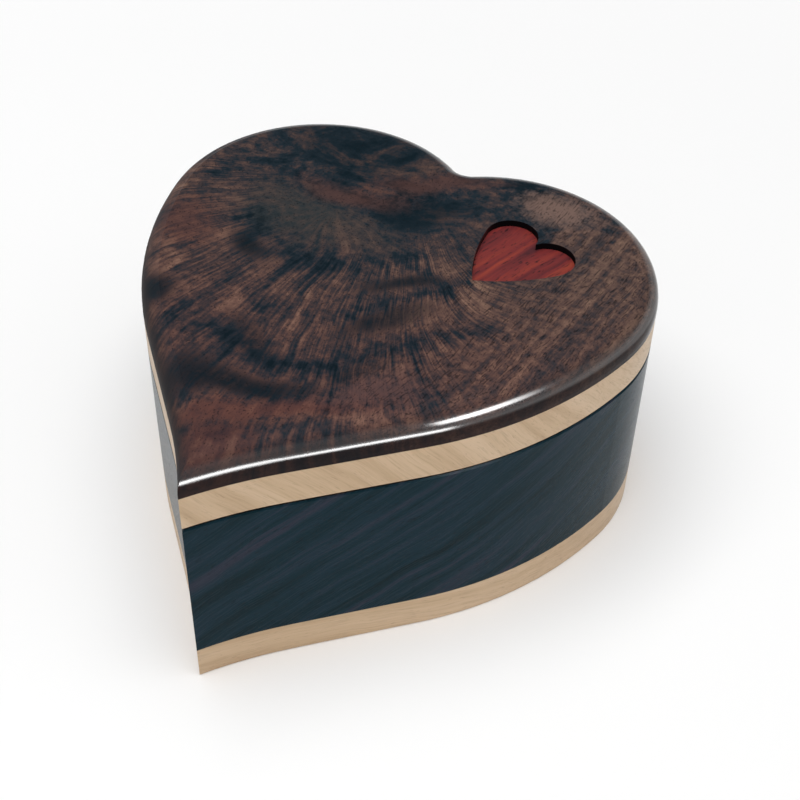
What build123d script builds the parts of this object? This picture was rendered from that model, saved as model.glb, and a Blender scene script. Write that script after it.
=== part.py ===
from build123d import *
import os
from math import acos, atan2, cos, degrees, pi, radians, sin, sqrt

# Wind up music box: a laminated wooden heart with a swivel lid and an 18 note movement.
# Millimetres, +Z up, tip of the heart toward -Y, origin under the middle of the bounding box.

# Heart outline
heart_width = 130.0
heart_length = 137.3
lobe_radius = 40.4
shoulder_radius = 98.5
lobe_end_angle = -12.6
tip_flare_depth = 2.1
tip_flare_radius = 125.0
cleft_radius = 4.0

# Wood layers
base_thickness = 9.5
body_height = 41.3
lid_gap = 0.4
lid_maple_thickness = 9.5
lid_walnut_thickness = 8.3
lid_roundover = 7.0
edge_ease = 0.4
wall = 8.0
inner_tip_radius = 5.0

# Inlay in the lid
inlay_lobe_radius = 6.56
inlay_lobe_offset = 6.24
inlay_lobe_end_angle = -22.8
inlay_side_radius = 47.4
inlay_place = (30.0, 37.2)
inlay_turn = -18.9
inlay_pocket_depth = 5.0
inlay_thickness = 3.3

# Fits
running_fit = 0.05
glue_fit = 0.05
lining_fit = 0.4

# Lid pivot and catch
pivot_radius = 2.5
pivot_boss_radius = 9.0
pivot_from_cleft = 9.4
pivot_depth_in_body = 16.0
pivot_depth_in_lid = 8.0
magnet_radius = 3.0
magnet_thickness = 3.0
magnet_share_of_tip = 0.62

# Inside of the box
partition_thickness = 3.0
partition_below_rim = 1.0
partition_gap = 3.5
felt_thickness = 1.0
cover_gap = 2.3
cover_thickness = 2.5
cover_post_radius = 4.0
cover_post_gap = 1.2
cover_screw_head = 2.6
cover_screw_shank = 1.2
cover_screw_length = 8.0
cover_hole_radius = 6.0

# Movement, measured from the winding axis and from the underside of the bedplate
bedplate_thickness = 3.0
bedplate_round = 13.0
bedplate_side_gap = 2.0
bedplate_half_depth = 16.4
bedplate_neck = 12.0
bedplate_front = 26.0
bedplate_back = 20.0
train_end = 37.0
bearing_start = 12.4
bearing_width = 2.0
bearing_half = 3.0
bearing_gap = 0.04
cylinder_height = 16.5
cylinder_radius = 6.5
cylinder_start = 15.0
cylinder_length = 16.0
cylinder_arbor_radius = 1.0
pin_height = 0.8
pin_size = 0.45
pins_per_note = 7
note_count = 18

barrel_radius = 11.5
barrel_wall = 0.8
barrel_clear = 0.6
crown_teeth = 40
drive_pinion_teeth = 14
crown_module = 0.5
crown_plate = 1.2
crown_width = 2.4
drive_pinion_width = 2.2
spring_thickness = 0.35
spring_start = 2.6
spring_step = 0.5
spring_half_turns = 14

arbor_radius = 2.0
arbor_pivot_radius = 1.2
key_recess_radius = 15.0
key_recess_depth = 6.5
key_length = 24.0
key_thickness = 4.0
key_hub_radius = 3.4
key_clear = 1.0
ratchet_teeth = 16
ratchet_tip = 4.4
ratchet_depth = 0.8
ratchet_width = 1.2
bridge_gap = 0.8
bridge_thickness = 1.2
bridge_half_width = 4.0
bridge_leg = 2.5
click_gap = 0.15
click_thickness = 0.9

comb_thickness = 0.9
comb_tip_gap = 0.14
comb_slot = 0.25
comb_margin = 0.3
comb_back = 25.6
comb_seat_front = 20.2
bass_root = 19.4
treble_root = 14.0

train_module = 0.4
gear_width = 1.2
cylinder_gear_teeth = 36
governor_pinion_teeth = 10
worm_wheel_teeth = 24
governor_drop = 1.2
governor_arbor_radius = 0.6
worm_mean_radius = 1.2
worm_eccentricity = 0.33
thread_turns = 4
worm_shaft_radius = 0.5
frame_plate = 1.2
frame_start = 29.4
fan_reach = 4.4
fan_height = 4.0
fan_blade = 0.35

movement_screw_head = 2.6
movement_screw_shank = 1.4
movement_screw_sink = 3.0
small_screw_head = 1.8
small_screw_shank = 0.8

# Derived heights of the wood
body_bottom = base_thickness
body_top = base_thickness + body_height
lid_bottom = body_top + lid_gap
lid_joint = lid_bottom + lid_maple_thickness
lid_top = lid_joint + lid_walnut_thickness

# Derived places in the plan
lobe_x = heart_width / 2 - lobe_radius
lobe_y = heart_length / 2 - lobe_radius
tip_y = -heart_length / 2
cleft_y = lobe_y + sqrt((lobe_radius + cleft_radius) ** 2 - lobe_x**2) - cleft_radius
pivot_y = cleft_y - pivot_from_cleft
winding_x = -heart_width / 2 + wall + bedplate_side_gap + bedplate_round
winding_y = pivot_y - pivot_boss_radius - bedplate_back
partition_x = winding_x + train_end + partition_gap + partition_thickness / 2

# Derived heights of the movement
cylinder_end = cylinder_start + cylinder_length
crown_radius = crown_teeth * crown_module / 2
crown_height = cylinder_height - drive_pinion_teeth * crown_module / 2
crown_root = crown_height - 1.2 * crown_module
crown_tip = crown_height + 0.8 * crown_module
barrel_floor = bedplate_thickness + barrel_clear
barrel_top = crown_root - crown_plate
bridge_bottom = crown_tip + bridge_gap
bridge_top = bridge_bottom + bridge_thickness
pivot_top = bridge_top + ratchet_width + bridge_gap
governor_height = cylinder_height - governor_drop
train_side = sqrt((train_module * (cylinder_gear_teeth + governor_pinion_teeth) / 2) ** 2 - governor_drop**2)
train_turn = degrees(atan2(-governor_drop, train_side))
wheel_radius = worm_wheel_teeth * train_module / 2
wheel_start = cylinder_end + gear_width + bridge_gap
worm_u = wheel_start + gear_width / 2
worm_v = train_side + wheel_radius + worm_mean_radius
foot_top = bedplate_thickness + frame_plate
arm_low = governor_height + wheel_radius + train_module
arm_high = arm_low + frame_plate
fan_low = arm_high + frame_plate / 2
cover_bottom = base_thickness + fan_low + fan_height + cover_gap
cover_top = cover_bottom + cover_thickness


def prism(face, low, high):
    return Pos(0, 0, low) * extrude(face, amount=high - low)


def rod(x, y, radius, low, high):
    return Pos(x, y, low) * Cylinder(radius, high - low, align=(Align.CENTER, Align.CENTER, Align.MIN))


def block(x0, x1, y0, y1, z0, z1):
    return Pos((x0 + x1) / 2, (y0 + y1) / 2, (z0 + z1) / 2) * Box(x1 - x0, y1 - y0, z1 - z0)


def on_circle(center, radius, angle):
    return (center[0] + radius * cos(radians(angle)), center[1] + radius * sin(radians(angle)))


def arc(center, radius, start, end):
    return ThreePointArc(
        on_circle(center, radius, start),
        on_circle(center, radius, (start + end) / 2),
        on_circle(center, radius, end),
    )


def mirrored_face(edges):
    half = list(edges) + [mirror(edge, about=Plane.YZ) for edge in edges]
    return make_face(half)


def heart_edges(stretch=0.0):
    # Right half from the cleft round the lobe and down the flank to the tip.
    lobe = (lobe_x, lobe_y)
    cleft_center = (0.0, cleft_y + cleft_radius)
    touch = degrees(atan2(cleft_center[1] - lobe_y, -lobe_x))
    shoulder = on_circle(lobe, lobe_radius - shoulder_radius, lobe_end_angle)
    # The straight flank leaves the shoulder so that the tip stands out from it by the flare depth.
    to_tip = (-shoulder[0], tip_y - shoulder[1])
    spread = acos((shoulder_radius + tip_flare_depth) / sqrt(to_tip[0] ** 2 + to_tip[1] ** 2))
    flank_angle = degrees(atan2(to_tip[1], to_tip[0]) + spread)
    flank_start = on_circle(shoulder, shoulder_radius, flank_angle)
    normal = (cos(radians(flank_angle)), sin(radians(flank_angle)))
    along = (normal[1], -normal[0])
    # The flare is a hollow arc that touches the flank and ends on the centre line at the tip.
    flare_line = on_circle(flank_start, tip_flare_radius, flank_angle)
    dx = flare_line[0]
    dy = flare_line[1] - tip_y
    half_b = dx * along[0] + dy * along[1]
    reach = -half_b - sqrt(half_b**2 - (dx**2 + dy**2 - tip_flare_radius**2))
    flare_start = (flank_start[0] + reach * along[0], flank_start[1] + reach * along[1])
    flare = (flare_line[0] + reach * along[0], flare_line[1] + reach * along[1])
    flare_end = degrees(atan2(tip_y - flare[1], -flare[0])) % 360.0
    edges = [
        arc(cleft_center, cleft_radius, -90.0 - 4 * stretch, touch - 180.0),
        arc(lobe, lobe_radius, touch, lobe_end_angle),
        arc(shoulder, shoulder_radius, lobe_end_angle, flank_angle),
        Line(flank_start, flare_start),
        arc(flare, tip_flare_radius, flank_angle + 180.0, flare_end),
    ]
    if stretch:
        tip = on_circle(flare, tip_flare_radius, flare_end)
        edges.append(Line(tip, on_circle(tip, stretch, flare_end + 90.0)))
    return edges


def heart_face():
    return mirrored_face(heart_edges())


def eased_layer(low, high, end):
    # A layer of the heart with the sharp arris of one face, lowest 0 or highest -1, taken off.
    layer = prism(heart_face(), low, high)
    return chamfer(layer.edges().group_by(Axis.Z)[end], edge_ease)


def rounded_panel(low, high, radius):
    # Each half is rounded past the centre plane and trimmed there, so the tip is a clean mitre.
    edges = heart_edges(stretch=14.0)
    first = edges[0] @ 0
    last = edges[-1] @ 1
    far = -heart_width / 4
    closing = Polyline(last, (far, last.Y), (far, first.Y), first)
    half = prism(make_face(edges + closing.edges()), low, high)
    rim = half.edges().group_by(Axis.Z)[-1].filter_by(lambda edge: (edge @ 0.5).X > far / 4)
    right = fillet(rim, radius) & block(0, heart_width, -heart_length, heart_length, low, high)
    return right + mirror(right, about=Plane.YZ)


def inlay_face():
    lobe = (inlay_lobe_offset, 0.0)
    first = degrees(acos(-inlay_lobe_offset / inlay_lobe_radius))
    side = on_circle(lobe, inlay_lobe_radius - inlay_side_radius, inlay_lobe_end_angle)
    last = -degrees(acos(-side[0] / inlay_side_radius))
    heart = mirrored_face(
        [
            arc(lobe, inlay_lobe_radius, first, inlay_lobe_end_angle),
            arc(side, inlay_side_radius, inlay_lobe_end_angle, last),
        ]
    )
    return Pos(*inlay_place) * Rot(0, 0, inlay_turn) * heart



def spin_x(x, y, z, turn=0.0):
    # Plane that lays a gear drawn flat onto an axle along +X.
    return Plane((x, y, z), x_dir=(0, 1, 0), z_dir=(1, 0, 0)) * Rot(0, 0, turn)


def mv(u, v, w):
    return (winding_x + u, winding_y + v, base_thickness + w)


def mv_block(u0, u1, v0, v1, w0, w1):
    low = mv(u0, v0, w0)
    high = mv(u1, v1, w1)
    return block(low[0], high[0], low[1], high[1], low[2], high[2])


def mv_rod(u, v, radius, w0, w1):
    return rod(winding_x + u, winding_y + v, radius, base_thickness + w0, base_thickness + w1)


def axle_x(u0, u1, v, w, radius):
    place = mv(u0, v, w)
    return spin_x(*place) * extrude(Circle(radius), amount=u1 - u0)


def gear_face(teeth, module, tip=0.85, root=1.15, share=0.40):
    # Straight sided teeth, thinned for backlash; one tooth lies on local +X.
    pitch = teeth * module / 2
    thick = share * pi * module
    half = [
        (pitch - root * module, 0.62 * thick),
        (pitch, 0.50 * thick),
        (pitch + tip * module, 0.24 * thick),
    ]
    points = []
    for tooth in range(teeth):
        middle = 360.0 * tooth / teeth
        for radius, side in half:
            points.append(on_circle((0, 0), radius, middle - degrees(side / radius)))
        for radius, side in reversed(half):
            points.append(on_circle((0, 0), radius, middle + degrees(side / radius)))
    return make_face(Polyline(*points, close=True))


def screw(x, y, seat, head_radius, shank_radius, length, up=True):
    # Cheese head screw with a straight slot; the seat is the face the head bears on.
    height = 0.62 * head_radius
    slot = 0.15 * head_radius
    head = rod(0, 0, head_radius, 0, height) - block(-head_radius, head_radius, -slot, slot, height / 2, height)
    turn = Rot(0, 0, 30) if up else Rot(180, 0, 30)
    return Pos(x, y, seat) * turn * (head + rod(0, 0, shank_radius, -length, 0))


# Case of maple and walnut
outline = heart_face()
inside = offset(outline, amount=-wall)
inner_tip = inside.vertices().filter_by_position(Axis.X, -0.5, 0.5).sort_by(Axis.Y)[0]
inside = fillet(inner_tip, inner_tip_radius)
magnet_y = tip_y + magnet_share_of_tip * (inside.bounding_box().min.Y - tip_y)
cavity = inside - Pos(0, pivot_y) * Circle(pivot_boss_radius)
lined = offset(cavity, amount=-lining_fit)
half_plan = Rectangle(2 * heart_width, 2 * heart_length)
side_shift = heart_width + partition_thickness / 2 + lining_fit
movement_side = lined & (Pos(partition_x - side_shift, 0) * half_plan)
trinket_side = lined & (Pos(partition_x + side_shift, 0) * half_plan)

screw_u = key_recess_radius + movement_screw_shank - 0.9
screw_places = [
    mv(screw_u, 0.73 * bedplate_half_depth, 0),
    mv(screw_u, -0.76 * bedplate_half_depth, 0),
    mv(train_end - bearing_half, -bedplate_front + 4.0, 0),
]
base_board = eased_layer(0, base_thickness, 0)
base_board -= rod(winding_x, winding_y, key_recess_radius, 0, key_recess_depth)
base_board -= rod(winding_x, winding_y, 1.5 * arbor_radius, 0, base_thickness)
for place in screw_places:
    base_board -= rod(place[0], place[1], movement_screw_head + 4 * running_fit, 0, movement_screw_sink)
    base_board -= rod(place[0], place[1], movement_screw_shank + running_fit, 0, base_thickness)

body_ring = eased_layer(body_bottom, body_top, -1) - prism(cavity, body_bottom, body_top)
body_ring -= rod(0, pivot_y, pivot_radius + running_fit, body_top - pivot_depth_in_body - 0.5, body_top)
body_ring -= rod(0, magnet_y, magnet_radius, body_top - magnet_thickness, body_top)

partition_strip = Pos(partition_x, 0) * Rectangle(partition_thickness, 2 * heart_length)
partition = prism(cavity & partition_strip, body_bottom, body_top - partition_below_rim)
compartment_felt = prism(trinket_side, body_bottom, body_bottom + felt_thickness)

post_reach = cover_post_radius + cover_post_gap
cover_post_places = [
    (-lobe_x, lobe_y + lobe_radius - wall - post_reach),
    (winding_x - 0.7 * cover_post_radius, winding_y - bedplate_half_depth - post_reach + 0.6),
    (partition_x - partition_thickness / 2 - 1.5 * post_reach, tip_y + 0.28 * heart_length),
]
cover_hole = (partition_x - 3.5 * cover_hole_radius, tip_y + 0.4 * heart_length)
movement_cover = prism(movement_side, cover_bottom, cover_top)
movement_cover -= rod(*cover_hole, cover_hole_radius, cover_bottom, cover_top)
cover_posts = []
cover_screws = []
for x, y in cover_post_places:
    post = rod(x, y, cover_post_radius, body_bottom, cover_bottom)
    cover_posts.append(post - rod(x, y, cover_screw_shank, cover_bottom - cover_screw_length, cover_bottom))
    movement_cover -= rod(x, y, 1.25 * cover_screw_shank, cover_bottom, cover_top)
    cover_screws.append(
        screw(x, y, cover_top, cover_screw_head, cover_screw_shank, cover_screw_length + cover_thickness)
    )

# Lid
lid_underlayer = eased_layer(lid_bottom, lid_joint, 0)
lid_underlayer -= rod(0, pivot_y, pivot_radius, lid_bottom, lid_bottom + pivot_depth_in_lid)
lid_underlayer -= rod(0, magnet_y, magnet_radius, lid_bottom, lid_bottom + magnet_thickness)
pocket_floor = lid_top - inlay_pocket_depth
lid_panel = rounded_panel(lid_joint, lid_top, lid_roundover) - prism(inlay_face(), pocket_floor, lid_top)
heart_inlay = prism(offset(inlay_face(), amount=-glue_fit), pocket_floor, pocket_floor + inlay_thickness)
pivot_pin = rod(0, pivot_y, pivot_radius, body_top - pivot_depth_in_body, lid_bottom + pivot_depth_in_lid)
pivot_washer = rod(0, pivot_y, 2.4 * pivot_radius, body_top, lid_bottom)
pivot_washer -= rod(0, pivot_y, pivot_radius + running_fit, body_top, lid_bottom)
rim_magnet = rod(0, magnet_y, magnet_radius, body_top - magnet_thickness, body_top)
lid_magnet = rod(0, magnet_y, magnet_radius, lid_bottom, lid_bottom + magnet_thickness)

# Bedplate, cast with the comb seat and the two cylinder bearings
comb_start = cylinder_start + comb_margin
comb_end = cylinder_end - comb_margin
comb_tip = -(cylinder_radius + pin_height + comb_tip_gap)
comb_bottom = cylinder_height - comb_thickness / 2
comb_top = comb_bottom + comb_thickness
bedplate = mv_rod(0, 0, bedplate_round, 0, bedplate_thickness)
bedplate += mv_block(
    -bearing_half - bearing_width, train_end, -bedplate_half_depth, bedplate_half_depth, 0, bedplate_thickness
)
bedplate += mv_block(bedplate_neck, train_end, -bedplate_front, bedplate_back, 0, bedplate_thickness)
bedplate += mv_block(
    comb_start - barrel_wall, comb_end + barrel_wall, -bedplate_front, -comb_seat_front, 0, comb_bottom
)
for near in (bearing_start, train_end - bearing_width):
    far = near + bearing_width
    bedplate += mv_block(near, far, -bearing_half, bearing_half, 0, cylinder_height)
    bedplate += axle_x(near, far, 0, cylinder_height, bearing_half)
    bedplate -= axle_x(near, far, 0, cylinder_height, cylinder_arbor_radius + bearing_gap)
bedplate -= mv_rod(0, 0, arbor_radius + running_fit, 0, bedplate_thickness)
screw_reach = base_thickness - movement_screw_sink + 0.8 * bedplate_thickness
movement_screws = []
for place in screw_places:
    bedplate -= rod(place[0], place[1], movement_screw_shank, base_thickness, movement_screw_sink + screw_reach)
    movement_screws.append(
        screw(
            place[0], place[1], movement_screw_sink, movement_screw_head, movement_screw_shank, screw_reach, up=False
        )
    )

# Spring barrel with its toothed cover
arbor_hole = arbor_radius + running_fit
barrel_drum = mv_rod(0, 0, barrel_radius, barrel_floor, barrel_top)
barrel_drum -= mv_rod(0, 0, barrel_radius - barrel_wall, barrel_floor + barrel_wall, barrel_top)
barrel_drum -= mv_rod(0, 0, arbor_hole, barrel_floor, barrel_top)
barrel_cover = mv_rod(0, 0, barrel_radius, barrel_top, crown_root)
crown_foot = 0.84 * crown_module
crown_face = 0.4 * crown_module
crown_section = Polygon(
    (-crown_foot, crown_root),
    (crown_foot, crown_root),
    (crown_face, crown_tip),
    (-crown_face, crown_tip),
    align=None,
)
crown_bar = spin_x(crown_radius - crown_width / 2, 0, 0) * extrude(crown_section, amount=crown_width)
for tooth in range(crown_teeth):
    barrel_cover += Pos(*mv(0, 0, 0)) * Rot(0, 0, 360.0 * (tooth + 0.5) / crown_teeth) * crown_bar
barrel_cover -= mv_rod(0, 0, arbor_hole, barrel_top, crown_tip)

outer_side = []
inner_side = []
for half_turn in range(spring_half_turns):
    middle = (spring_step * (half_turn % 2), 0.0)
    radius = spring_start + spring_step * half_turn
    begin = 180.0 * (half_turn % 2)
    outer_side.append(arc(middle, radius + spring_thickness / 2, begin, begin + 180.0))
    inner_side.append(arc(middle, radius - spring_thickness / 2, begin, begin + 180.0))
spring_ends = [Line(outer_side[0] @ 0, inner_side[0] @ 0), Line(outer_side[-1] @ 1, inner_side[-1] @ 1)]
spring_face = make_face(outer_side + inner_side + spring_ends)
spring_height = barrel_top - barrel_floor - barrel_wall - barrel_clear
mainspring = Pos(*mv(0, 0, barrel_floor + barrel_wall)) * extrude(spring_face, amount=spring_height)

# Winding arbor, ratchet and key
key_bottom = key_clear
key_top = key_recess_depth - 0.6 * key_clear
shoulder_height = bridge_bottom - 2 * running_fit
winding_arbor = rod(winding_x, winding_y, arbor_radius, 2 * key_bottom, base_thickness + shoulder_height)
winding_arbor += mv_rod(0, 0, arbor_pivot_radius, shoulder_height, pivot_top)
ratchet_points = []
for tooth in range(ratchet_teeth):
    turn = 360.0 * tooth / ratchet_teeth
    ratchet_points.append(on_circle((0, 0), ratchet_tip, turn))
    ratchet_points.append(on_circle((0, 0), ratchet_tip - ratchet_depth, turn + 2.0))
ratchet_face = make_face(Polyline(*ratchet_points, close=True)) - Circle(arbor_pivot_radius)
ratchet_wheel = Pos(*mv(0, 0, bridge_top + 4 * running_fit)) * extrude(ratchet_face, amount=ratchet_width)
wing = SlotOverall(key_length, 1.7 * key_thickness) & Rectangle(key_length, key_thickness)
winding_key = prism(Pos(winding_x, winding_y) * wing, key_bottom, 0.9 * key_top)
winding_key += rod(winding_x, winding_y, key_hub_radius, key_bottom, key_top)
for side in (-1, 1):
    eye = Pos(winding_x + 0.32 * side * key_length, winding_y, key_recess_depth / 2) * Rot(90, 0, 0)
    winding_key -= eye * Cylinder(0.32 * key_thickness, 2 * key_thickness)
winding_key -= rod(winding_x, winding_y, arbor_radius, 2 * key_bottom, key_top)

# Barrel bridge with the click
leg_inner = barrel_radius + 1.5 * barrel_clear
bridge_reach = leg_inner + bridge_leg
barrel_bridge = mv_block(-bridge_half_width, bridge_half_width, -bridge_reach, bridge_reach, bridge_bottom, bridge_top)
barrel_bridge -= mv_rod(0, 0, arbor_pivot_radius + running_fit, bridge_bottom, bridge_top)
bridge_screws = []
bridge_screw_length = bridge_thickness + 6 * small_screw_shank
for side in (-1, 1):
    near, far = sorted((side * leg_inner, side * bridge_reach))
    barrel_bridge += mv_block(-bridge_half_width, bridge_half_width, near, far, bedplate_thickness, bridge_bottom)
    place = mv(0, (near + far) / 2, bridge_top)
    barrel_bridge -= rod(place[0], place[1], small_screw_shank, place[2] - bridge_screw_length, place[2])
    bridge_screws.append(screw(*place, small_screw_head, small_screw_shank, bridge_screw_length))
click_round = 1.25 * small_screw_shank
click_pivot = on_circle((0, 0), 1.95 * ratchet_tip, 106.0)
click_near = ratchet_tip + click_gap
click_face = make_face(
    Polyline(
        on_circle((0, 0), click_near, 62.0),
        on_circle((0, 0), click_near + click_round, 74.0),
        (click_pivot[0], click_pivot[1] + click_round),
        (click_pivot[0], click_pivot[1] - click_round),
        on_circle((0, 0), click_near, 76.0),
        close=True,
    )
)
click_face += Pos(*click_pivot) * Circle(1.5 * click_round)
click_screw_shank = 0.75 * small_screw_shank
click_screw_length = click_thickness + 0.9 * bridge_thickness
click_place = mv(*click_pivot, bridge_top + click_thickness)
click_bore = rod(
    click_place[0], click_place[1], click_screw_shank, click_place[2] - click_screw_length, click_place[2]
)
click = Pos(*mv(0, 0, bridge_top)) * extrude(click_face, amount=click_thickness) - click_bore
barrel_bridge -= click_bore
click_screw = screw(*click_place, 1.2 * click_round, click_screw_shank, click_screw_length)

# Cylinder with its pins, driven by the barrel
note_pitch = (comb_end - comb_start) / note_count
pins = []
for note in range(note_count):
    along = comb_start + (note + 0.5) * note_pitch
    for pin in range(pins_per_note):
        turn = 360.0 * ((note * 0.618034 + (pin + 0.11 * ((note * pin) % 5)) / pins_per_note) % 1.0)
        bar = Pos(0, 0, cylinder_radius + 0.25 * pin_height) * Box(pin_size, pin_size, 1.5 * pin_height)
        pins.append(Pos(*mv(along, 0, cylinder_height)) * Rot(turn, 0, 0) * bar)
cylinder_arbor = axle_x(cylinder_start - cylinder_radius, train_end, 0, cylinder_height, cylinder_arbor_radius)
music_cylinder = axle_x(cylinder_start, cylinder_end, 0, cylinder_height, cylinder_radius).fuse(*pins)
music_cylinder -= cylinder_arbor
drive_face = gear_face(drive_pinion_teeth, crown_module, share=0.36)
drive_place = mv(crown_radius - drive_pinion_width / 2, 0, cylinder_height)
drive_pinion = spin_x(*drive_place, -90.0) * extrude(drive_face, amount=drive_pinion_width) - cylinder_arbor
cylinder_gear = spin_x(*mv(cylinder_end, 0, cylinder_height), train_turn) * extrude(
    gear_face(cylinder_gear_teeth, train_module), amount=gear_width
)
cylinder_gear -= cylinder_arbor

# Comb of eighteen steel teeth; the bass slots run deeper than the treble ones
comb = mv_block(comb_start, comb_end, -comb_back, comb_tip, comb_bottom, comb_top)
for slot in range(1, note_count):
    u = comb_start + slot * note_pitch
    root = -bass_root + (bass_root - treble_root) * slot / note_count
    comb -= mv_block(u - comb_slot / 2, u + comb_slot / 2, root, comb_tip, comb_bottom, comb_top)
comb_screw_length = 6 * small_screw_shank
comb_screws = []
for u in (comb_start + 4 * small_screw_shank, comb_end - 4 * small_screw_shank):
    place = mv(u, -(comb_back + comb_seat_front) / 2, comb_top)
    bore = rod(place[0], place[1], small_screw_shank, place[2] - comb_screw_length, place[2])
    comb -= bore
    bedplate -= bore
    comb_screws.append(screw(*place, 1.1 * small_screw_head, small_screw_shank, comb_screw_length))

# Governor: pinion and worm wheel on one arbor, upright worm with the air fan
frame_end = train_end - 0.8
governor_arbor = axle_x(frame_start, frame_end, train_side, governor_height, governor_arbor_radius)
pinion_turn = train_turn + 180.0 + 180.0 / governor_pinion_teeth
governor_pinion = spin_x(*mv(cylinder_end, train_side, governor_height), pinion_turn) * extrude(
    gear_face(governor_pinion_teeth, train_module), amount=1.2 * gear_width
)
worm_wheel = spin_x(*mv(wheel_start, train_side, governor_height)) * extrude(
    gear_face(worm_wheel_teeth, train_module, tip=0.75, share=0.30), amount=gear_width
)
governor_pinion -= governor_arbor
worm_wheel -= governor_arbor

thread_length = pi * train_module * thread_turns
shaft_low = bedplate_thickness + frame_plate / 4
shaft_high = fan_low + fan_height
thread_face = Rot(0, 0, 90.0 - 180.0 * thread_turns) * Pos(worm_eccentricity, 0) * Circle(worm_mean_radius)
thread = Solid.extrude_linear_with_rotation(thread_face.face(), (0, 0, 0), (0, 0, thread_length), 360.0 * thread_turns)
worm_shaft = mv_rod(worm_u, worm_v, worm_shaft_radius, shaft_low, shaft_high)
governor_worm = Pos(*mv(worm_u, worm_v, governor_height - thread_length / 2)) * thread + worm_shaft
fan = mv_rod(worm_u, worm_v, 2.2 * worm_shaft_radius, fan_low, shaft_high)
fan += mv_block(
    worm_u - fan_reach, worm_u + fan_reach, worm_v - fan_blade / 2, worm_v + fan_blade / 2, fan_low, shaft_high
)
fan -= worm_shaft

frame_front = train_side - governor_arbor_radius - 0.5 * frame_plate
frame_back = bedplate_back - frame_plate / 2
post_half = 1.3 * frame_plate
post_front = worm_v + worm_mean_radius + worm_eccentricity + frame_plate / 2
plate_back = train_side + 3 * governor_arbor_radius
plate_top = governor_height + 3 * governor_arbor_radius
governor_frame = mv_block(frame_start, frame_end, frame_front, frame_back, bedplate_thickness, foot_top)
for near in (frame_start, frame_end - frame_plate):
    far = near + frame_plate
    governor_frame += mv_block(near, far, frame_front, plate_back, foot_top, plate_top)
    governor_frame -= axle_x(near, far, train_side, governor_height, governor_arbor_radius + bearing_gap)
governor_frame += mv_block(worm_u - post_half, worm_u + post_half, post_front, frame_back, foot_top, arm_high)
governor_frame += mv_block(
    worm_u - post_half, worm_u + post_half, worm_v - 1.5 * frame_plate, frame_back, arm_low, arm_high
)
governor_frame -= mv_rod(worm_u, worm_v, worm_shaft_radius + bearing_gap, shaft_low, arm_high)
governor_screws = []
frame_screw_head = frame_plate
frame_screw_shank = 0.6 * frame_plate
frame_screw_u = worm_u - post_half - frame_screw_head - running_fit
for v in (plate_back + 2 * frame_plate, frame_back - 1.5 * frame_plate):
    place = mv(frame_screw_u, v, foot_top)
    bore = rod(place[0], place[1], frame_screw_shank, place[2] - 2.5 * frame_plate, place[2])
    governor_frame -= bore
    bedplate -= bore
    governor_screws.append(screw(*place, frame_screw_head, frame_screw_shank, 2.5 * frame_plate))

pieces = {
    "base_board": base_board,
    "body_ring": body_ring,
    "partition": partition,
    "compartment_felt": compartment_felt,
    "cover_posts": Compound(cover_posts),
    "movement_cover": movement_cover,
    "cover_screws": Compound(cover_screws),
    "rim_magnet": rim_magnet,
    "pivot_washer": pivot_washer,
    "lid_underlayer": lid_underlayer,
    "lid_panel": lid_panel,
    "heart_inlay": heart_inlay,
    "pivot_pin": pivot_pin,
    "lid_magnet": lid_magnet,
    "bedplate": bedplate,
    "movement_screws": Compound(movement_screws),
    "barrel_drum": barrel_drum,
    "barrel_cover": barrel_cover,
    "mainspring": mainspring,
    "winding_arbor": winding_arbor,
    "ratchet_wheel": ratchet_wheel,
    "winding_key": winding_key,
    "barrel_bridge": barrel_bridge,
    "bridge_screws": Compound(bridge_screws),
    "click": click,
    "click_screw": click_screw,
    "music_cylinder": music_cylinder,
    "cylinder_arbor": cylinder_arbor,
    "drive_pinion": drive_pinion,
    "cylinder_gear": cylinder_gear,
    "comb": comb,
    "comb_screws": Compound(comb_screws),
    "governor_frame": governor_frame,
    "governor_screws": Compound(governor_screws),
    "governor_arbor": governor_arbor,
    "governor_pinion": governor_pinion,
    "worm_wheel": worm_wheel,
    "governor_worm": governor_worm,
    "fan": fan,
}

os.makedirs("parts", exist_ok=True)
for name, shape in pieces.items():
    export_step(shape, f"parts/{name}.step")
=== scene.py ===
import bpy
import math
from mathutils import Matrix, Vector


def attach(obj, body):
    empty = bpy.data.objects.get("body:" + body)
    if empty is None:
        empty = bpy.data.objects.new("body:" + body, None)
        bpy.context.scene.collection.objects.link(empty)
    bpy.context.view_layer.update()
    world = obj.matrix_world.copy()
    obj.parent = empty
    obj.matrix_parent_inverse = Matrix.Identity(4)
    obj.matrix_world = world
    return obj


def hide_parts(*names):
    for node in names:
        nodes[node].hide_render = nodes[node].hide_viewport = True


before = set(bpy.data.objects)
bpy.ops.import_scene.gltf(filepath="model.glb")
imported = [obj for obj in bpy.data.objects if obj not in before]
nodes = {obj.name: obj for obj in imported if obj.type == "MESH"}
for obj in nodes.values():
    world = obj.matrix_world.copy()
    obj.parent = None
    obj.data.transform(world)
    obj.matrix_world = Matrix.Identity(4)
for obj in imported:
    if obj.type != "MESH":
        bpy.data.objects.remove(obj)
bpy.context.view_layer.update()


# Base board, lid underlayer, partition and cover posts: hard maple, the layers sawn to the heart's outline.
# Pale straight wood with faint flecks and a few brown growth lines, glued up and under a satin lacquer.
def put(tree, kind, inputs=None, **settings):
    made = tree.nodes.new(kind)
    for name, value in settings.items():
        setattr(made, name, value)
    for name, value in (inputs or {}).items():
        if isinstance(value, bpy.types.NodeSocket):
            tree.links.new(value, made.inputs[name])
        else:
            made.inputs[name].default_value = value
    return made


def calc(tree, operation, first, second=0.0, third=0.0):
    made = put(tree, "ShaderNodeMath", {0: first, 1: second, 2: third}, operation=operation)
    return made.outputs[0]


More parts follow.
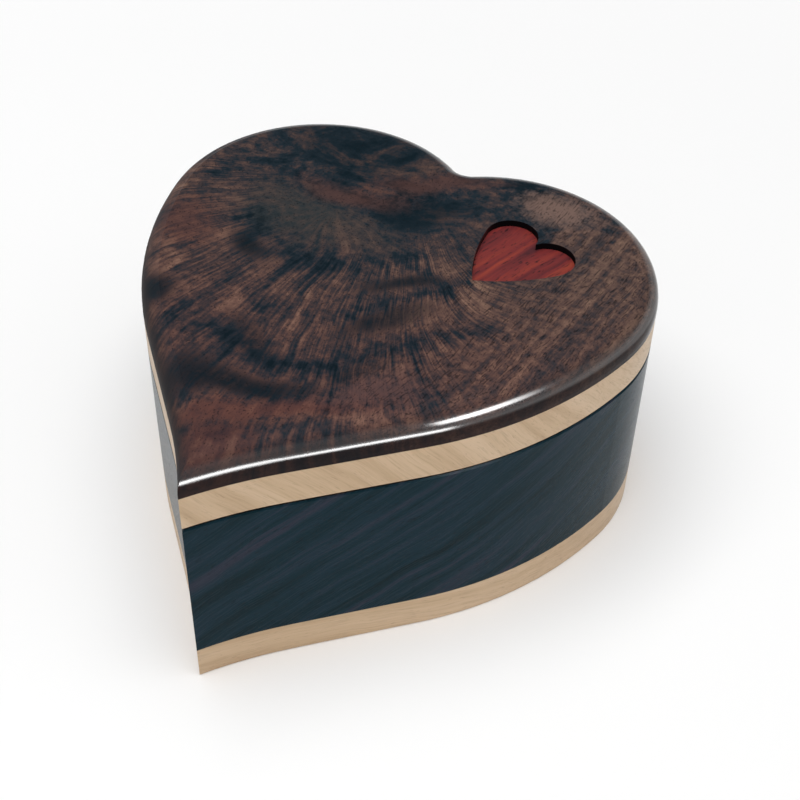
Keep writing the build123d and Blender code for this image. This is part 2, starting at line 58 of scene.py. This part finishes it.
def vector_calc(tree, operation, first, second=(0.0, 0.0, 0.0), output="Vector"):
    made = put(tree, "ShaderNodeVectorMath", {0: first, 1: second}, operation=operation)
    return made.outputs[output]


def noise(tree, vector, scale, detail=2.0, roughness=0.5, distortion=0.0, output="Fac"):
    grade = {"Scale": scale, "Detail": detail, "Roughness": roughness, "Distortion": distortion}
    made = put(tree, "ShaderNodeTexNoise", {"Vector": vector, **grade})
    return made.outputs[output]


def fade(tree, value, low, high, start=0.0, end=1.0):
    made = put(
        tree,
        "ShaderNodeMapRange",
        {"Value": value, "From Min": low, "From Max": high, "To Min": start, "To Max": end},
        interpolation_type="SMOOTHSTEP",
    )
    return made.outputs["Result"]


def tint(tree, factor, first, second, blend="MIX"):
    made = put(tree, "ShaderNodeMix", data_type="RGBA", blend_type=blend, clamp_factor=True)
    for socket, value in zip((made.inputs[0], made.inputs[6], made.inputs[7]), (factor, first, second)):
        if isinstance(value, bpy.types.NodeSocket):
            tree.links.new(value, socket)
        else:
            socket.default_value = value if isinstance(value, float) else (*value, 1.0)
    return made.outputs[2]


def ramp(tree, factor, *stops):
    made = put(tree, "ShaderNodeValToRGB", {"Fac": factor})
    slots = made.color_ramp.elements
    while len(slots) < len(stops):
        slots.new(0.5)
    for slot, (place, colour) in zip(slots, stops):
        slot.position = place
        slot.color = (*colour, 1.0)
    return made.outputs["Color"]


def material(name, **sockets):
    made = bpy.data.materials.new(name)
    made.use_nodes = True
    shader = made.node_tree.nodes["Principled BSDF"]
    for socket, value in sockets.items():
        shader.inputs[socket.replace("_", " ")].default_value = value
    return made, made.node_tree, shader


def millimetres(tree):
    place = put(tree, "ShaderNodeTexCoord").outputs["Object"]
    return vector_calc(tree, "MULTIPLY", place, (1000.0, 1000.0, 1000.0))


def join(tree, shader, **sockets):
    for socket, value in sockets.items():
        tree.links.new(value, shader.inputs[socket.replace("_", " ")])


def bump(tree, shader, height, strength, distance=0.0001):
    made = put(tree, "ShaderNodeBump", {"Height": height, "Strength": strength, "Distance": distance})
    join(tree, shader, Normal=made.outputs["Normal"])


def dress(finish, *names):
    for name in names:
        nodes[name].data.materials.clear()
        nodes[name].data.materials.append(finish)


# The fibre group turns a place in millimetres into grain along local X, in layers stacked along local Z.
fibre = bpy.data.node_groups.new("wood_fibre", "ShaderNodeTree")
fibre.interface.new_socket("Place", in_out="INPUT", socket_type="NodeSocketVector")
fibre.interface.new_socket("Pore Limit", in_out="INPUT", socket_type="NodeSocketFloat")
fibre.interface.new_socket("Growth", in_out="OUTPUT", socket_type="NodeSocketFloat")
fibre.interface.new_socket("Fibre", in_out="OUTPUT", socket_type="NodeSocketFloat")
fibre.interface.new_socket("Pores", in_out="OUTPUT", socket_type="NodeSocketFloat")
into = fibre.nodes.new("NodeGroupInput")
out = fibre.nodes.new("NodeGroupOutput")
cloudy = noise(fibre, into.outputs["Place"], 0.025, 3, output="Color")
wander = vector_calc(fibre, "SUBTRACT", cloudy, (0.5, 0.5, 0.5))
pushed = vector_calc(fibre, "MULTIPLY", wander, (0.0, 7.0, 7.0))
bent = vector_calc(fibre, "ADD", into.outputs["Place"], pushed)
growth = noise(fibre, vector_calc(fibre, "MULTIPLY", bent, (0.012, 0.05, 0.30)), 1.0, 4, 0.6)
fine = noise(fibre, vector_calc(fibre, "MULTIPLY", bent, (0.10, 0.7, 2.6)), 1.0, 3, 0.65)
pore = noise(fibre, vector_calc(fibre, "MULTIPLY", bent, (0.34, 2.9, 2.9)), 1.0, 1, 0.4)
pore_mask = calc(fibre, "GREATER_THAN", pore, into.outputs["Pore Limit"])
fibre.links.new(growth, out.inputs["Growth"])
fibre.links.new(fine, out.inputs["Fibre"])
fibre.links.new(pore_mask, out.inputs["Pores"])


def wood_grain(tree, place, heading, rise, roll, pore_limit):
    turned = put(tree, "ShaderNodeVectorRotate", {"Vector": place}, rotation_type="EULER_XYZ", invert=True)
    turned.inputs["Rotation"].default_value = (math.radians(roll), -math.radians(rise), math.radians(heading))
    grain = put(tree, "ShaderNodeGroup", node_tree=fibre)
    tree.links.new(turned.outputs["Vector"], grain.inputs["Place"])
    grain.inputs["Pore Limit"].default_value = pore_limit
    return grain.outputs


def maple_layer(name, heading, rise, *layers):
    finish, tree, shader = material(name, Specular_IOR_Level=0.4)
    grain = wood_grain(tree, millimetres(tree), heading, rise, 0.0, 0.70)
    pale = ramp(
        tree,
        grain["Growth"],
        (0.30, (0.50, 0.340, 0.200)),
        (0.46, (0.585, 0.415, 0.255)),
        (0.66, (0.645, 0.470, 0.307)),
    )
    flecked = tint(tree, fade(tree, grain["Fibre"], 0.46, 0.74, 0.0, 0.40), pale, (0.33, 0.21, 0.12))
    dotted = tint(tree, calc(tree, "MULTIPLY", grain["Pores"], 0.30), flecked, (0.24, 0.14, 0.08))
    join(tree, shader, Base_Color=dotted, Roughness=fade(tree, grain["Fibre"], 0.2, 0.8, 0.32, 0.48))
    bump(tree, shader, grain["Fibre"], 0.08)
    dress(finish, *layers)


maple_layer("maple_base", 45.0, -4.0, "base_board", "partition", "cover_posts")
maple_layer("maple_lid", 45.0, -48.0, "lid_underlayer")


# Body: one thick block of dark walnut, hollowed out to a heart shaped ring.
# Stained blue black outside with streaks that climb along the side, bare brown wood inside and on the rim.
dark_walnut, tree, shader = material("dark_walnut", IOR=1.17)
place = millimetres(tree)
grain = wood_grain(tree, place, 45.0, 30.0, 0.0, 0.66)
deep = ramp(
    tree,
    grain["Growth"],
    (0.32, (0.0012, 0.0125, 0.0175)),
    (0.46, (0.0024, 0.0200, 0.0295)),
    (0.56, (0.0075, 0.0260, 0.0405)),
    (0.68, (0.0260, 0.0310, 0.0490)),
)
streaked = tint(tree, fade(tree, grain["Fibre"], 0.40, 0.75, 0.0, 0.28), deep, (0.016, 0.030, 0.046))
outward = vector_calc(tree, "NORMALIZE", vector_calc(tree, "MULTIPLY", place, (1.0, 1.0, 0.0)))
facing = vector_calc(tree, "DOT_PRODUCT", put(tree, "ShaderNodeTexCoord").outputs["Normal"], outward, "Value")
bare = ramp(
    tree,
    grain["Growth"],
    (0.32, (0.017, 0.012, 0.010)),
    (0.50, (0.034, 0.022, 0.017)),
    (0.70, (0.060, 0.037, 0.026)),
)
stained = tint(tree, fade(tree, facing, 0.05, 0.40), bare, streaked)
dotted = tint(tree, calc(tree, "MULTIPLY", grain["Pores"], 0.4), stained, (0.002, 0.004, 0.006))
join(tree, shader, Base_Color=dotted, Roughness=fade(tree, grain["Fibre"], 0.2, 0.8, 0.20, 0.32))
bump(tree, shader, grain["Pores"], 0.12)
dress(dark_walnut, "body_ring")


# Felt floor of the open half: a pad of wool felt cut to the hollow and glued to the base board.
# The cut edge is soft and the nap stands up in short crossed hairs.
felt_solid = nodes["compartment_felt"]
felt = bpy.data.objects.new("felt_floor", felt_solid.data.copy())
bpy.context.scene.collection.objects.link(felt)
edge = felt.modifiers.new("soft_edge", "BEVEL")
edge.width = 0.0004
edge.segments = 3
edge.limit_method = "ANGLE"
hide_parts("compartment_felt")
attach(felt, "case")

wool, tree, shader = material(
    "felt", Roughness=0.95, Sheen_Weight=0.5, Sheen_Roughness=0.6, Specular_IOR_Level=0.1
)
place = millimetres(tree)
strands = noise(tree, vector_calc(tree, "MULTIPLY", place, (1.0, 0.35, 1.0)), 3.5, 4, 0.7, 2.0)
clumps = noise(tree, place, 0.35, 3, 0.6)
mixed = calc(tree, "ADD", calc(tree, "MULTIPLY", strands, 0.6), calc(tree, "MULTIPLY", clumps, 0.4))
green = ramp(
    tree,
    mixed,
    (0.30, (0.004, 0.020, 0.013)),
    (0.50, (0.010, 0.045, 0.028)),
    (0.70, (0.025, 0.082, 0.052)),
)
join(tree, shader, Base_Color=green)
bump(tree, shader, strands, 0.6, 0.0003)
felt.data.materials.clear()
felt.data.materials.append(wool)


# Bedplate and governor frame: zinc die castings with a dull grained skin, screwed down to the base board.
# The group gives worked metal its drawn lines and its cloudy staining.
worked = bpy.data.node_groups.new("worked_metal", "ShaderNodeTree")
worked.interface.new_socket("Place", in_out="INPUT", socket_type="NodeSocketVector")
worked.interface.new_socket("Drawn", in_out="INPUT", socket_type="NodeSocketVector")
worked.interface.new_socket("Lines", in_out="OUTPUT", socket_type="NodeSocketFloat")
worked.interface.new_socket("Stain", in_out="OUTPUT", socket_type="NodeSocketFloat")
into = worked.nodes.new("NodeGroupInput")
out = worked.nodes.new("NodeGroupOutput")
drawn = vector_calc(worked, "MULTIPLY", into.outputs["Place"], into.outputs["Drawn"])
worked.links.new(noise(worked, drawn, 1.0, 3, 0.6), out.inputs["Lines"])
worked.links.new(noise(worked, into.outputs["Place"], 0.22, 4, 0.6, 0.5), out.inputs["Stain"])


def metal(name, dull, bright, rough, drawn, relief, *pieces):
    finish, tree, shader = material(name, Metallic=1.0)
    surface = put(tree, "ShaderNodeGroup", node_tree=worked)
    tree.links.new(millimetres(tree), surface.inputs["Place"])
    surface.inputs["Drawn"].default_value = drawn
    lines, stain = surface.outputs["Lines"], surface.outputs["Stain"]
    toned = tint(tree, fade(tree, stain, 0.34, 0.62), dull, bright)
    lined = tint(tree, fade(tree, lines, 0.40, 0.75, 0.0, 0.35), toned, dull)
    join(tree, shader, Base_Color=lined, Roughness=fade(tree, lines, 0.25, 0.75, *rough))
    bump(tree, shader, lines, relief)
    dress(finish, *pieces)


metal(
    "cast_zinc",
    (0.30, 0.30, 0.30),
    (0.46, 0.46, 0.45),
    (0.42, 0.62),
    (3.0, 3.0, 3.0),
    0.45,
    "bedplate",
    "governor_frame",
)


# Spring barrel, key, cylinder and the two driving gears: turned and drawn brass, left bright.
# The lid's pivot pin with its washer and the cover screws are cut from the same stock.
metal(
    "brass",
    (0.52, 0.33, 0.10),
    (0.80, 0.58, 0.24),
    (0.20, 0.36),
    (0.5, 0.5, 7.0),
    0.12,
    "barrel_drum",
    "barrel_cover",
    "winding_key",
    "drive_pinion",
    "cylinder_gear",
    "pivot_pin",
    "pivot_washer",
    "cover_screws",
)
metal(
    "cylinder_brass",
    (0.56, 0.37, 0.12),
    (0.83, 0.62, 0.27),
    (0.22, 0.38),
    (7.0, 0.6, 0.6),
    0.15,
    "music_cylinder",
)


# Mainspring and click: blued spring steel, the spring wound inside the barrel.
# Winding arbor, ratchet, comb, worm and screws: ground steel with fine lines along the cut.
metal(
    "spring_steel",
    (0.05, 0.065, 0.12),
    (0.15, 0.18, 0.27),
    (0.20, 0.34),
    (0.6, 0.6, 8.0),
    0.08,
    "mainspring",
    "click",
)
metal("comb_steel", (0.40, 0.40, 0.41), (0.62, 0.63, 0.64), (0.20, 0.34), (0.8, 9.0, 0.8), 0.12, "comb")
metal(
    "steel",
    (0.34, 0.34, 0.35),
    (0.58, 0.58, 0.59),
    (0.22, 0.38),
    (5.0, 5.0, 0.6),
    0.12,
    "winding_arbor",
    "ratchet_wheel",
    "cylinder_arbor",
    "governor_arbor",
    "governor_worm",
    "movement_screws",
    "bridge_screws",
    "click_screw",
    "comb_screws",
    "governor_screws",
)


# Barrel bridge and the two catch magnets: steel and magnet alloy under bright nickel plate.
# The plate is smooth, with a warm cast and hardly any line in it.
metal(
    "nickel",
    (0.52, 0.49, 0.44),
    (0.72, 0.69, 0.63),
    (0.12, 0.22),
    (1.2, 1.2, 1.2),
    0.04,
    "barrel_bridge",
    "rim_magnet",
    "lid_magnet",
)


# Governor pinion, worm wheel and fan: small nylon mouldings, off white and a little waxy.
# The pinion and the wheel sit on the governor's arbor, and the fan turns with the worm.
nylon, tree, shader = material("nylon", Subsurface_Weight=0.15, Specular_IOR_Level=0.45)
place = millimetres(tree)
flow = noise(tree, place, 0.6, 3, 0.55, 0.6)
milky = ramp(tree, flow, (0.35, (0.66, 0.645, 0.585)), (0.65, (0.78, 0.77, 0.72)))
join(tree, shader, Base_Color=milky, Roughness=fade(tree, noise(tree, place, 4.0, 2), 0.3, 0.7, 0.34, 0.50))
bump(tree, shader, noise(tree, place, 5.0, 2), 0.08)
dress(nylon, "governor_pinion", "worm_wheel", "fan")


# Movement cover: a sheet of clear acrylic on three posts that keeps fingers off the movement.
# Polished on both faces, with faint hairlines from wiping.
acrylic, tree, shader = material("clear_acrylic", Transmission_Weight=1.0, IOR=1.49, Metallic=0.0)
place = millimetres(tree)
wiped = noise(tree, vector_calc(tree, "MULTIPLY", place, (0.15, 6.0, 1.0)), 1.0, 2, 0.6)
clear = ramp(tree, noise(tree, place, 0.08, 2), (0.3, (0.93, 0.96, 0.97)), (0.7, (0.97, 0.985, 0.99)))
join(tree, shader, Base_Color=clear, Roughness=fade(tree, wiped, 0.50, 0.78, 0.015, 0.09))
bump(tree, shader, wiped, 0.02)
dress(acrylic, "movement_cover")


# Lid panel: a board of crotch walnut, its edge rounded over and the whole polished to a gloss.
# The figure fans out below one point on the left lobe and runs straight on the right lobe.
figured_walnut, tree, shader = material("figured_walnut", IOR=1.16, Coat_Roughness=0.15, Coat_IOR=1.55)
place = millimetres(tree)
warp = vector_calc(tree, "SUBTRACT", noise(tree, place, 0.028, 2, 0.5, output="Color"), (0.5, 0.5, 0.5))
warped = vector_calc(tree, "ADD", place, vector_calc(tree, "MULTIPLY", warp, (24.0, 24.0, 8.0)))
from_fan = vector_calc(tree, "SUBTRACT", warped, (-17.0, 29.0, 0.0))
spoke = vector_calc(tree, "MULTIPLY", from_fan, (1.0, 1.0, 0.0))
reach = vector_calc(tree, "LENGTH", spoke, output="Value")
spoke_heading = vector_calc(tree, "NORMALIZE", spoke)
side = put(tree, "ShaderNodeSeparateXYZ", {0: warped}).outputs


def fan(heading, turns, along, detail, roughness):
    spread = vector_calc(tree, "MULTIPLY", heading, (turns, turns, 0.0))
    lift = put(tree, "ShaderNodeCombineXYZ", {"Z": calc(tree, "MULTIPLY", reach, along)}).outputs[0]
    return noise(tree, vector_calc(tree, "ADD", spread, lift), 1.0, detail, roughness)


rays = fan(spoke_heading, 7.0, 0.03, 3, 0.6)
# The fine silk of the fan leaves a point higher up, and bends level toward the right lobe.
eased = vector_calc(tree, "ADD", place, vector_calc(tree, "MULTIPLY", warp, (8.0, 8.0, 0.0)))
silk_side = put(tree, "ShaderNodeSeparateXYZ", {0: eased}).outputs
silk_x = calc(tree, "ADD", silk_side["X"], 14.0)
silk_y = calc(tree, "SUBTRACT", silk_side["Y"], fade(tree, silk_side["X"], -16.0, 32.0, 46.0, 12.0))
silk_spoke = put(tree, "ShaderNodeCombineXYZ", {"X": silk_x, "Y": silk_y}).outputs[0]
silk_heading = vector_calc(tree, "NORMALIZE", silk_spoke)
coarse_silk = fan(silk_heading, 22.0, 0.05, 2, 0.6)
fine_silk = fan(silk_heading, 70.0, 0.10, 2, 0.6)
hairs = calc(tree, "ADD", calc(tree, "MULTIPLY", coarse_silk, 0.45), calc(tree, "MULTIPLY", fine_silk, 0.55))
above = fade(tree, side["Y"], 20.0, 40.0)
right = fade(tree, side["X"], 26.0, 46.0, 0.0, 0.92)
fan_field = calc(tree, "SUBTRACT", 1.0, calc(tree, "MAXIMUM", above, right))
shown = calc(tree, "MULTIPLY", fade(tree, reach, 8.0, 30.0), fan_field)
feather = calc(tree, "MULTIPLY", calc(tree, "SUBTRACT", coarse_silk, 0.5), 11.0)
ringed = calc(tree, "DIVIDE", calc(tree, "ADD", reach, feather), 110.0)
# Light and dark rings round the fan's point: distance as a share, and shade.
ring_shades = (
    (0.00, 0.42),
    (0.15, 0.46),
    (0.20, 0.20),
    (0.25, 0.58),
    (0.32, 0.66),
    (0.37, 0.32),
    (0.42, 0.70),
    (0.48, 0.64),
    (0.52, 0.24),
    (0.57, 0.62),
    (0.64, 0.36),
    (0.69, 0.75),
    (0.75, 0.34),
    (0.82, 0.70),
    (0.90, 0.40),
)
rings = ramp(tree, ringed, *((share, (shade, shade, shade)) for share, shade in ring_shades))
patchy = fade(tree, noise(tree, place, 0.055, 3, 0.55), 0.38, 0.64)
broken = put(tree, "ShaderNodeMix", {0: patchy, 2: rings, 3: 0.56}).outputs[0]
fanned = calc(tree, "ADD", broken, calc(tree, "MULTIPLY", calc(tree, "SUBTRACT", rays, 0.5), 0.70))
swirl = noise(tree, vector_calc(tree, "MULTIPLY", place, (1.0, 1.35, 1.0)), 0.060, 4, 0.65, 1.0)
swirled = fade(tree, swirl, 0.30, 0.70, 0.10, 0.66)
figure = put(tree, "ShaderNodeMix", {0: above, 2: fanned, 3: swirled}).outputs[0]
straight = wood_grain(tree, place, 84.0, 0.0, 90.0, 0.62)
broad_lines = calc(tree, "MULTIPLY", straight["Growth"], 0.7)
fine_lines = calc(tree, "MULTIPLY", straight["Fibre"], 0.3)
lines = calc(tree, "ADD", broad_lines, fine_lines)
lined = fade(tree, lines, 0.32, 0.68, 0.48, 0.88)
figure = put(tree, "ShaderNodeMix", {0: right, 2: figure, 3: lined}).outputs[0]
silk = calc(tree, "MULTIPLY", calc(tree, "SUBTRACT", hairs, 0.5), calc(tree, "MULTIPLY", shown, 1.40))
mottle = calc(tree, "MULTIPLY", calc(tree, "SUBTRACT", noise(tree, place, 0.42, 4, 0.7), 0.5), 0.90)
silky = calc(tree, "ADD", calc(tree, "ADD", figure, silk), mottle)
brown = ramp(
    tree,
    silky,
    (0.10, (0.0045, 0.0115, 0.0160)),
    (0.34, (0.0150, 0.0225, 0.0290)),
    (0.53, (0.0490, 0.0355, 0.0350)),
    (0.70, (0.1030, 0.0580, 0.0460)),
    (0.95, (0.2000, 0.1150, 0.0800)),
)
# Patches of the board: place, length and width in millimetres, turn in degrees, strength and colour.
red_heartwood = (0.112, 0.048, 0.036)
deep_red = (0.070, 0.032, 0.028)
russet = (0.120, 0.066, 0.056)
dark_burl = (0.0045, 0.0115, 0.0160)
smoky = (0.040, 0.042, 0.038)
fawn = (0.205, 0.120, 0.092)
for x, y, long, wide, turn, strength, colour in (
    (-27.0, 54.0, 24.0, 12.0, -8.0, 0.40, dark_burl),
    (-19.0, 36.5, 17.0, 6.0, 8.0, 0.55, red_heartwood),
    (-1.0, 50.5, 18.0, 5.5, 33.0, 0.55, red_heartwood),
    (2.0, 36.0, 11.0, 6.0, 28.0, 0.65, dark_burl),
    (-24.0, 22.0, 22.0, 12.0, 0.0, 0.50, smoky),
    (-28.0, 5.5, 8.0, 4.5, -20.0, 0.85, dark_burl),
    (9.0, 8.0, 10.0, 4.0, 35.0, 0.80, dark_burl),
    (-5.0, -37.0, 18.0, 4.5, 14.0, 0.80, dark_burl),
    (6.0, -42.0, 28.0, 4.0, 32.0, 0.60, red_heartwood),
    (-41.0, -20.0, 9.0, 6.0, -30.0, 0.75, dark_burl),
    (-48.0, 5.0, 10.0, 9.0, -30.0, 0.55, red_heartwood),
    (2.0, -57.0, 13.0, 10.0, 45.0, 0.60, deep_red),
    (28.0, 55.0, 11.0, 8.0, 20.0, 0.80, fawn),
    (14.0, -7.0, 12.0, 4.5, 42.0, 0.75, dark_burl),
    (16.0, -23.0, 7.0, 4.0, 40.0, 0.45, dark_burl),
    (-9.0, -24.0, 8.0, 5.0, -15.0, 0.50, dark_burl),
    (30.0, -26.0, 8.0, 5.0, 25.0, 0.10, dark_burl),
    (22.0, -27.0, 14.0, 6.0, 38.0, 0.60, russet),
):
    shifted = vector_calc(tree, "SUBTRACT", warped, (x, y, 0.0))
    aligned = {"Vector": shifted, "Angle": -math.radians(turn)}
    spun = put(tree, "ShaderNodeVectorRotate", aligned, rotation_type="Z_AXIS")
    sized = vector_calc(tree, "MULTIPLY", spun.outputs["Vector"], (1.0 / long, 1.0 / wide, 0.0))
    spread = vector_calc(tree, "LENGTH", sized, output="Value")
    ragged = calc(tree, "SUBTRACT", calc(tree, "SUBTRACT", spread, silk), calc(tree, "MULTIPLY", mottle, 1.6))
    brown = tint(tree, fade(tree, ragged, 0.25, 1.25, strength, 0.0), brown, colour)
warmth = tint(tree, fade(tree, side["Y"], -45.0, 45.0), (1.06, 0.98, 1.04), (0.98, 1.06, 1.12))
brown = tint(tree, 1.0, brown, warmth, "MULTIPLY")
dashes = calc(tree, "MULTIPLY", straight["Pores"], fade(tree, side["X"], 8.0, 32.0, 0.15, 0.60))
dotted = tint(tree, dashes, brown, (0.007, 0.008, 0.010))
pits = noise(tree, vector_calc(tree, "MULTIPLY", place, (1.0, 0.7, 1.0)), 2.3, 1, 0.3)
peppered = tint(tree, fade(tree, pits, 0.66, 0.70, 0.0, 0.60), dotted, (0.006, 0.008, 0.010))
slope = put(tree, "ShaderNodeSeparateXYZ", {0: put(tree, "ShaderNodeTexCoord").outputs["Normal"]}).outputs
upright = slope["Z"]
# The upright wall of the inlay's pocket is coloured near black.
pocket_centre = (30.0, 35.5, 0.0)
from_pocket = vector_calc(tree, "SUBTRACT", place, pocket_centre)
level_pocket = vector_calc(tree, "MULTIPLY", from_pocket, (1.0, 1.0, 0.0))
near_pocket = fade(tree, vector_calc(tree, "LENGTH", level_pocket, output="Value"), 17.0, 19.0, 1.0, 0.0)
darkened_pocket_wall = calc(tree, "MULTIPLY", near_pocket, fade(tree, upright, 0.3, 0.8, 1.0, 0.0))
# Painted shade: the rounded edge is coloured darker than the face, the more so the further it turns from
# upright.
edge_painted_shade = tint(tree, fade(tree, upright, 0.35, 0.95, 0.78, 0.0), peppered, (0.010, 0.006, 0.006))
join(tree, shader, Base_Color=tint(tree, darkened_pocket_wall, edge_painted_shade, (0.003, 0.003, 0.004)))
# The finish is dull on the left of the edge, so it mirrors little there.
dull_edge = fade(tree, slope["X"], -0.45, -0.10, 0.60, 0.0)
glossy_face = fade(tree, hairs, 0.2, 0.8, 0.08, 0.14)
join(tree, shader, Roughness=calc(tree, "MAXIMUM", dull_edge, glossy_face))
# A coat of wax stands on the crown of the edge at the right of the tip.
crown = calc(tree, "MULTIPLY", fade(tree, upright, 0.26, 0.38), fade(tree, upright, 0.62, 0.78, 1.0, 0.0))
held = vector_calc(tree, "DOT_PRODUCT", place, (1.0, -1.0, 0.0), "Value")
waxed = calc(tree, "MULTIPLY", crown, fade(tree, held, 15.0, 50.0))
join(tree, shader, Coat_Weight=calc(tree, "MULTIPLY", waxed, fade(tree, slope["X"], -0.20, 0.0)))
polish = calc(tree, "SUBTRACT", calc(tree, "MULTIPLY", fine_silk, 0.25), fade(tree, pits, 0.62, 0.70))
bump(tree, shader, calc(tree, "SUBTRACT", polish, straight["Pores"]), 0.10, 0.00005)
dress(figured_walnut, "lid_panel")


# Inlay: a small heart of padauk glued into a pocket, a little below the lid's face.
# Orange red wood with purple streaks and long dark pores along its grain.
padauk, tree, shader = material("padauk", Coat_Weight=0.15, Coat_Roughness=0.2)
grain = wood_grain(tree, millimetres(tree), 76.0, 0.0, 90.0, 0.655)
red = ramp(
    tree,
    grain["Growth"],
    (0.34, (0.070, 0.013, 0.017)),
    (0.50, (0.182, 0.024, 0.023)),
    (0.66, (0.285, 0.044, 0.025)),
)
streaked = tint(tree, fade(tree, grain["Fibre"], 0.45, 0.75, 0.0, 0.45), red, (0.095, 0.018, 0.024))
dotted = tint(tree, calc(tree, "MULTIPLY", grain["Pores"], 0.9), streaked, (0.020, 0.006, 0.009))
join(tree, shader, Base_Color=dotted, Roughness=fade(tree, grain["Fibre"], 0.2, 0.8, 0.36, 0.52))
bump(tree, shader, grain["Pores"], 0.10)
dress(padauk, "heart_inlay")


# Studio: a pale paper floor, soft light from above and two small lamps on the right of the box.
# The small lamps show in gloss alone, and draw the bright lines along the rounded edge of the lid.
half = 9.0
corners = [(-half, -half, 0.0), (half, -half, 0.0), (half, half, 0.0), (-half, half, 0.0)]
floor = bpy.data.objects.new("floor", bpy.data.meshes.new("floor"))
floor.data.from_pydata(corners, [], [(0, 1, 2, 3)])
bpy.context.scene.collection.objects.link(floor)
paper, tree, shader = material(
    "floor_paper", Base_Color=(0.95, 0.95, 0.95, 1.0), Roughness=0.9, Specular_IOR_Level=0.0
)


def seen_white(tree):
    ray = put(tree, "ShaderNodeLightPath").outputs
    looked_at = calc(tree, "MAXIMUM", ray["Is Camera Ray"], ray["Is Glossy Ray"])
    return calc(tree, "MAXIMUM", looked_at, ray["Is Transmission Ray"])


# Far from the box the paper is shown white without lighting the box any more.
distance = vector_calc(tree, "LENGTH", put(tree, "ShaderNodeTexCoord").outputs["Object"], output="Value")
far_glow = ramp(tree, fade(tree, distance, 0.22, 1.4), (0.0, (0.0, 0.0, 0.0)), (1.0, (0.80, 0.80, 0.80)))
join(tree, shader, Emission_Color=far_glow, Emission_Strength=seen_white(tree))
floor.data.materials.append(paper)

world = bpy.data.worlds.new("studio")
world.use_nodes = True
bpy.context.scene.world = world
air = world.node_tree
sky = air.nodes["Background"]
compass = put(air, "ShaderNodeTexCoord").outputs["Generated"]
bearing = put(air, "ShaderNodeSeparateXYZ", {0: compass}).outputs
toward = vector_calc(air, "DOT_PRODUCT", compass, (0.7, -0.7, 0.0), "Value")
front = fade(air, toward, -0.5, 0.7, 0.12, 0.52)
overhead = fade(air, bearing["Z"], 0.75, 1.0, 0.0, 0.5)
sky.inputs["Color"].default_value = (1.0, 1.0, 1.0, 1.0)
# The horizon is white to the eye and in reflections, and lights nothing.
horizon = fade(air, bearing["Z"], 0.09, 0.22, 1.0, 0.0)
horizon = calc(air, "MULTIPLY", horizon, seen_white(air))
glow = calc(air, "ADD", calc(air, "MAXIMUM", front, horizon), overhead)
air.links.new(glow, sky.inputs["Strength"])


def lamp(name, place, aim, size, power):
    light = bpy.data.lights.new(name, "AREA")
    light.shape = "RECTANGLE"
    light.size, light.size_y = size
    light.energy = power
    made = bpy.data.objects.new(name, light)
    bpy.context.scene.collection.objects.link(made)
    made.location = place
    made.rotation_euler = (Vector(aim) - Vector(place)).to_track_quat("-Z", "Y").to_euler()
    made.visible_camera = False
    return made


top_lamp = lamp("top_lamp", (-0.05, -0.25, 1.70), (0.0, 0.0, 0.0), (1.6, 1.6), 24.5)
top_lamp.visible_glossy = False
window_lamp = lamp("window_lamp", (0.335, -0.235, 0.035), (0.02, -0.045, 0.045), (0.13, 0.060), 0.58)
window_lamp.visible_diffuse = False
# A grid on the near lamp keeps its light on the edge and mostly out of the lid's flat face.
near_place = (0.0909, -0.0241, 0.0867)
edge_point = (0.048, -0.0105, 0.066)
gloss_lamp = lamp("gloss_lamp", near_place, edge_point, (0.054, 0.012), 0.0032)
gloss_lamp.visible_diffuse = False
gloss_lamp.data.spread = math.radians(40.0)

camera = bpy.data.objects.new("camera", bpy.data.cameras.new("camera"))
bpy.context.scene.collection.objects.link(camera)
bpy.context.scene.camera = camera
camera.data.sensor_width = 36.0
camera.data.lens = 64.757
azimuth = math.radians(28.10)
elevation = math.radians(42.93)
roll = math.radians(1.555)
target = Vector((0.00835, 0.01245, 0.02786))
camera_distance = 0.3710
level = math.cos(elevation)
away = Vector((math.sin(azimuth) * level, -math.cos(azimuth) * level, math.sin(elevation)))
across = Vector((math.cos(azimuth), math.sin(azimuth), 0.0))
upward = away.cross(across)
leaned = math.cos(roll) * across + math.sin(roll) * upward
raised = away.cross(leaned)
turned = Matrix((leaned, raised, away)).transposed().to_4x4()
camera.matrix_world = Matrix.Translation(target + camera_distance * away) @ turned
bpy.context.scene.view_settings.view_transform = "Standard"
